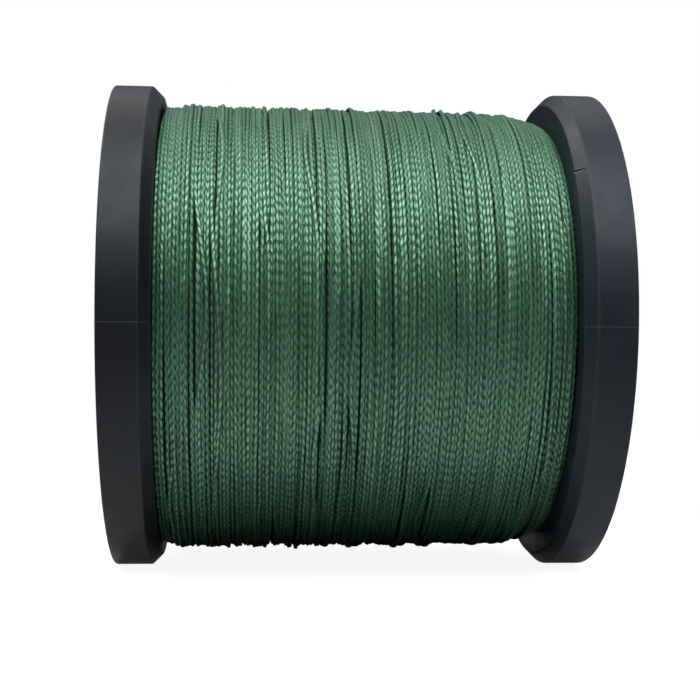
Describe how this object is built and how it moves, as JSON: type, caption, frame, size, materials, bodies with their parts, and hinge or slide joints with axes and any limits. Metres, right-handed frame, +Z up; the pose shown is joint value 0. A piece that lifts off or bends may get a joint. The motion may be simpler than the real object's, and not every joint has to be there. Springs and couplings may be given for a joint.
{
  "type": "fishing line spool",
  "caption": "Flanged black plastic spool filled with wound green braided fishing line, with a through bore for a spindle and ribbed outer faces.",
  "frame": {"origin": "middle of the spindle bore, halfway between the flanges' outer faces", "axes": "+X along the spindle bore from the left flange to the right flange, +Z up with the spool lying on its rims, -Y towards the front"},
  "size_m": [0.098, 0.1, 0.1],
  "materials": {
    "spool_plastic": "satin black moulded plastic",
    "tape": "creped paper tape",
    "line_inner": "packed turns of braided line",
    "line_braid": "moss green braided polyethylene line"
  },
  "bodies": {
    "root": {"left_flange": "spool_plastic", "right_flange": "spool_plastic", "barrel": "spool_plastic", "start_tape": "tape", "line_core": "line_inner", "line_outer_layer": "line_braid"}
  },
  "joints": []
}
